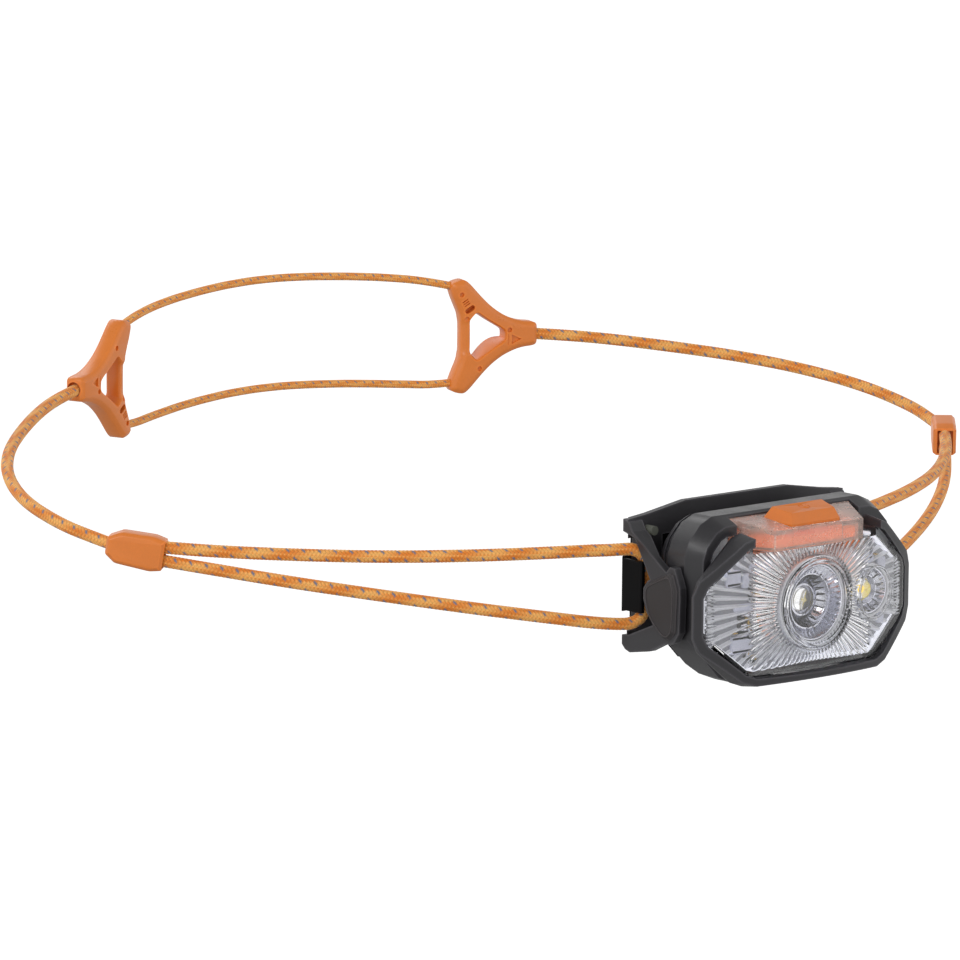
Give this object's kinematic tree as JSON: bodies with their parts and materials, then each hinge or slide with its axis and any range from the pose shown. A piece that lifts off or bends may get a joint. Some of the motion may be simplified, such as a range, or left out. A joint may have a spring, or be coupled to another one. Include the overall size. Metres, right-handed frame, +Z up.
{
  "type": "headlamp",
  "caption": "Compact cord-headband headlamp: a tilting lamp in a two-armed bracket on a band of thin elastic cords with rear adjusters.",
  "frame": {"origin": "centre of the forehead plate's rear face, where the lamp rests on the forehead", "axes": "+Y towards the wearer's head, the lamp faces -Y; +X to the wearer's left; +Z up"},
  "size_m": [0.1998, 0.1493, 0.0515],
  "materials": {
    "charcoal_plastic": "fine spark-eroded texture",
    "label_plastic": "satin, raised outline",
    "black_plate": "soft satin",
    "black_rubber": "matte",
    "grey_rubber": "matte",
    "nylon": "satin",
    "clear_plastic": "polished clear",
    "frosted_plastic": "frosted, light scattering",
    "silvered_plastic": "vacuum metallised",
    "orange_rubber": "matte",
    "orange_cord": "braided, with grey reflective tracers",
    "orange_plastic": "satin moulded",
    "led": "phosphor under clear dome",
    "board": "white solder mask",
    "cell_wrap": "satin foil",
    "white_plastic": "satin",
    "steel": "bright"
  },
  "bodies": {
    "bracket": {"bracket_frame": "charcoal_plastic", "forehead_plate": "black_plate", "left_pivot_cover": "label_plastic", "left_tilt_bumper": "grey_rubber", "right_pivot_cover": "label_plastic", "right_tilt_bumper": "grey_rubber", "left_front_cord": "orange_cord", "left_side_cord": "orange_cord", "lower_rear_cord": "orange_cord", "right_front_cord": "orange_cord", "right_side_cord": "orange_cord", "upper_rear_cord": "orange_cord", "left_adjuster": "orange_plastic", "left_cord_joiner": "orange_plastic", "right_adjuster": "orange_plastic", "right_cord_joiner": "orange_plastic"},
    "lamp": {"battery_cell": "cell_wrap", "battery_cradle": "white_plastic", "button_membrane": "orange_rubber", "casing_screws": "steel", "charging_port": "steel", "circuit_board": "board", "front_bezel": "charcoal_plastic", "front_housing": "charcoal_plastic", "housing_seal": "black_rubber", "left_friction_washer": "nylon", "lens": "clear_plastic", "light_guide": "frosted_plastic", "main_led": "led", "main_optic": "clear_plastic", "pivot_pins": "steel", "rear_housing": "charcoal_plastic", "reflector": "silvered_plastic", "right_friction_washer": "nylon", "side_leds": "led", "spot_led": "led", "spot_optic": "clear_plastic", "tact_switch": "steel"},
    "button": {"button": "orange_rubber"},
    "port_cover": {"port_cover": "black_rubber"}
  },
  "joints": [
    {"name": "lamp_tilt", "type": "hinge", "parent": "bracket", "child": "lamp", "pos_m": [0, -0.011, -0.0026], "axis": [1, 0, 0], "range_deg": [0, 45]},
    {"name": "button_press", "type": "slide", "parent": "lamp", "child": "button", "axis": [0, 0, -1], "range_m": [0, 0.0008], "stiffness_N_per_m": 1500},
    {"name": "port_cover_hinge", "type": "hinge", "parent": "lamp", "child": "port_cover", "pos_m": [0, -0.0163, -0.0156], "axis": [-1, 0, 0], "range_deg": [0, 90], "stiffness_Nm_per_rad": 0.0002}
  ]
}
